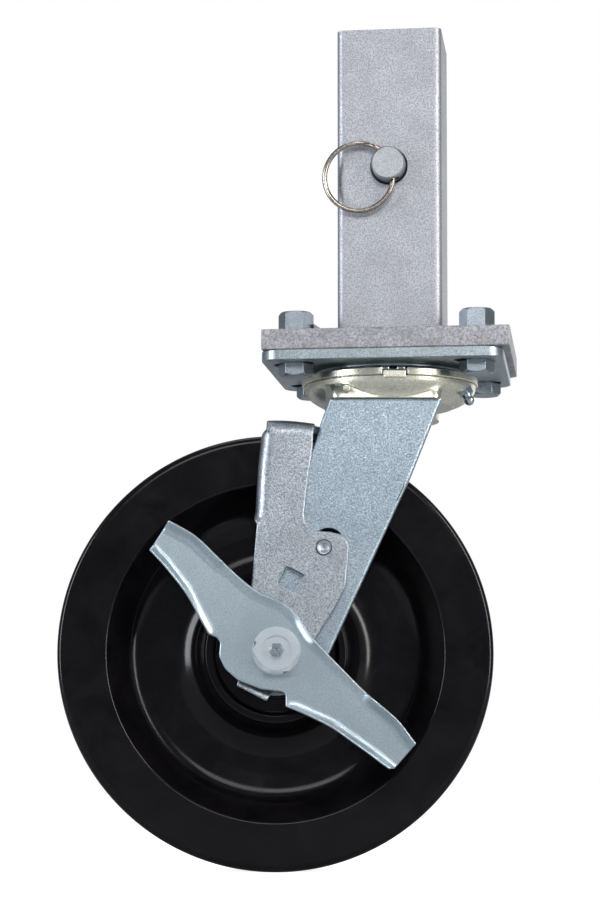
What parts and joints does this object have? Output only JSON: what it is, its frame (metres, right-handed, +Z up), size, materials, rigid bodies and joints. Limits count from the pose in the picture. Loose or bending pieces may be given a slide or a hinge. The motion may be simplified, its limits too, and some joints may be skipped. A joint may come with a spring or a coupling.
{
  "type": "gate wheel swivel caster",
  "caption": "Swivel gate wheel with a hard wheel and side pedal brake, bolted under a plated square stem with a ring-grip detent lock pin.",
  "frame": {"origin": "axis of the square stem at the top face of the stem plate, the shoulder that the gate leg lands on", "axes": "+Z up along the stem, +X along the plates' long side, -Y towards the brake pedal side at rest"},
  "size_m": [0.2166, 0.1158, 0.3964],
  "materials": {
    "galvanised_tube": "dull mottled galvanised",
    "galvanised_plate": "dull galvanised with warm stains",
    "weld_metal": "galvanised weld bead",
    "blue_zinc_plate": "bright bluish zinc plate",
    "blue_zinc_fastener": "bright bluish zinc plate",
    "yellow_zinc_race": "yellowish iridescent zinc plate",
    "grey_zinc_arm": "grainy grey zinc plate",
    "pin_steel": "matt zinc",
    "ring_nickel": "bright nickel plate",
    "bearing_steel": "polished hardened steel",
    "plain_steel": "plain turned steel",
    "black_phenolic": "moulded black phenolic resin"
  },
  "bodies": {
    "stem": {"stem_tube": "galvanised_tube", "stem_plate": "galvanised_plate", "stem_weld": "weld_metal", "bolt_tack_weld": "weld_metal", "caster_plate": "blue_zinc_plate", "plate_bolts": "blue_zinc_fastener", "plate_nuts": "blue_zinc_fastener", "king_pin": "plain_steel", "king_pin_nut": "blue_zinc_fastener", "lower_race": "yellow_zinc_race"},
    "fork": {"race_ring": "yellow_zinc_race", "yoke_crown": "yellow_zinc_race", "leg_near": "blue_zinc_plate", "leg_far": "blue_zinc_plate", "swivel_grease_fitting": "blue_zinc_fastener", "crown_plug": "yellow_zinc_race", "axle_bolt": "blue_zinc_fastener", "axle_grease_fitting": "blue_zinc_fastener", "axle_washer": "blue_zinc_fastener", "axle_nut": "blue_zinc_fastener", "pedal_bush": "plain_steel", "bearing_sleeve": "plain_steel", "thrust_washers": "plain_steel", "pivot_pin": "grey_zinc_arm", "pivot_collar": "plain_steel"},
    "upper_ball_row": {"upper_balls": "bearing_steel"},
    "lower_ball_row": {"lower_balls": "bearing_steel"},
    "road_wheel": {"wheel": "black_phenolic"},
    "roller_bearing": {"roller_cage": "plain_steel", "bearing_rollers": "bearing_steel"},
    "arm": {"brake_arm": "grey_zinc_arm"},
    "pedal": {"brake_pedal": "blue_zinc_plate", "drive_pin": "plain_steel"},
    "pin": {"lock_pin": "pin_steel", "detent_spring": "plain_steel"},
    "ball": {"detent_ball": "bearing_steel"},
    "ring": {"pull_ring": "ring_nickel"}
  },
  "joints": [
    {"name": "swivel", "type": "hinge", "parent": "stem", "child": "fork", "pos_m": [-0.0018, 0, -0.02], "axis": [0, 0, 1], "continuous": true},
    {"name": "upper_balls_roll", "type": "hinge", "parent": "stem", "child": "upper_ball_row", "pos_m": [-0.0018, 0, -0.016], "axis": [0, 0, 1], "continuous": true},
    {"name": "lower_balls_roll", "type": "hinge", "parent": "stem", "child": "lower_ball_row", "pos_m": [-0.0018, 0, -0.0327], "axis": [0, 0, 1], "continuous": true},
    {"name": "wheel_spin", "type": "hinge", "parent": "fork", "child": "road_wheel", "pos_m": [-0.0559, -0.00741, -0.1485], "axis": [-0.1357, 0.9907, 0], "continuous": true},
    {"name": "rollers_roll", "type": "hinge", "parent": "fork", "child": "roller_bearing", "pos_m": [-0.0559, -0.00741, -0.1485], "axis": [-0.1357, 0.9907, 0], "continuous": true},
    {"name": "brake_pedal_press", "type": "hinge", "parent": "fork", "child": "pedal", "pos_m": [-0.04979, -0.05199, -0.1485], "axis": [0.1357, -0.9907, 0], "range_deg": [0, 45]},
    {"name": "brake_arm_swing", "type": "hinge", "parent": "fork", "child": "arm", "pos_m": [-0.02914, -0.0421, -0.1007], "axis": [0.1357, -0.9907, 0], "range_deg": [0, 3]},
    {"name": "lock_pin_pull", "type": "slide", "parent": "stem", "child": "pin", "axis": [0, -1, 0], "range_m": [0, 0.08]},
    {"name": "detent_press", "type": "slide", "parent": "pin", "child": "ball", "axis": [0, 0, 1], "range_m": [0, 0.0008], "stiffness_N_per_m": 400, "deforming": ["detent_spring"]},
    {"name": "pull_ring_swing", "type": "hinge", "parent": "pin", "child": "ring", "pos_m": [0, -0.0286, 0.0807], "axis": [-0.3827, 0, 0.9239], "range_deg": [0, 170]}
  ],
  "couplings": [
    {"joint": "upper_balls_roll", "follows": "swivel", "ratio": 0.5},
    {"joint": "lower_balls_roll", "follows": "swivel", "ratio": 0.5},
    {"joint": "rollers_roll", "follows": "wheel_spin", "ratio": 0.5763},
    {"joint": "brake_arm_swing", "follows": "brake_pedal_press", "ratio": 0.066667}
  ]
}
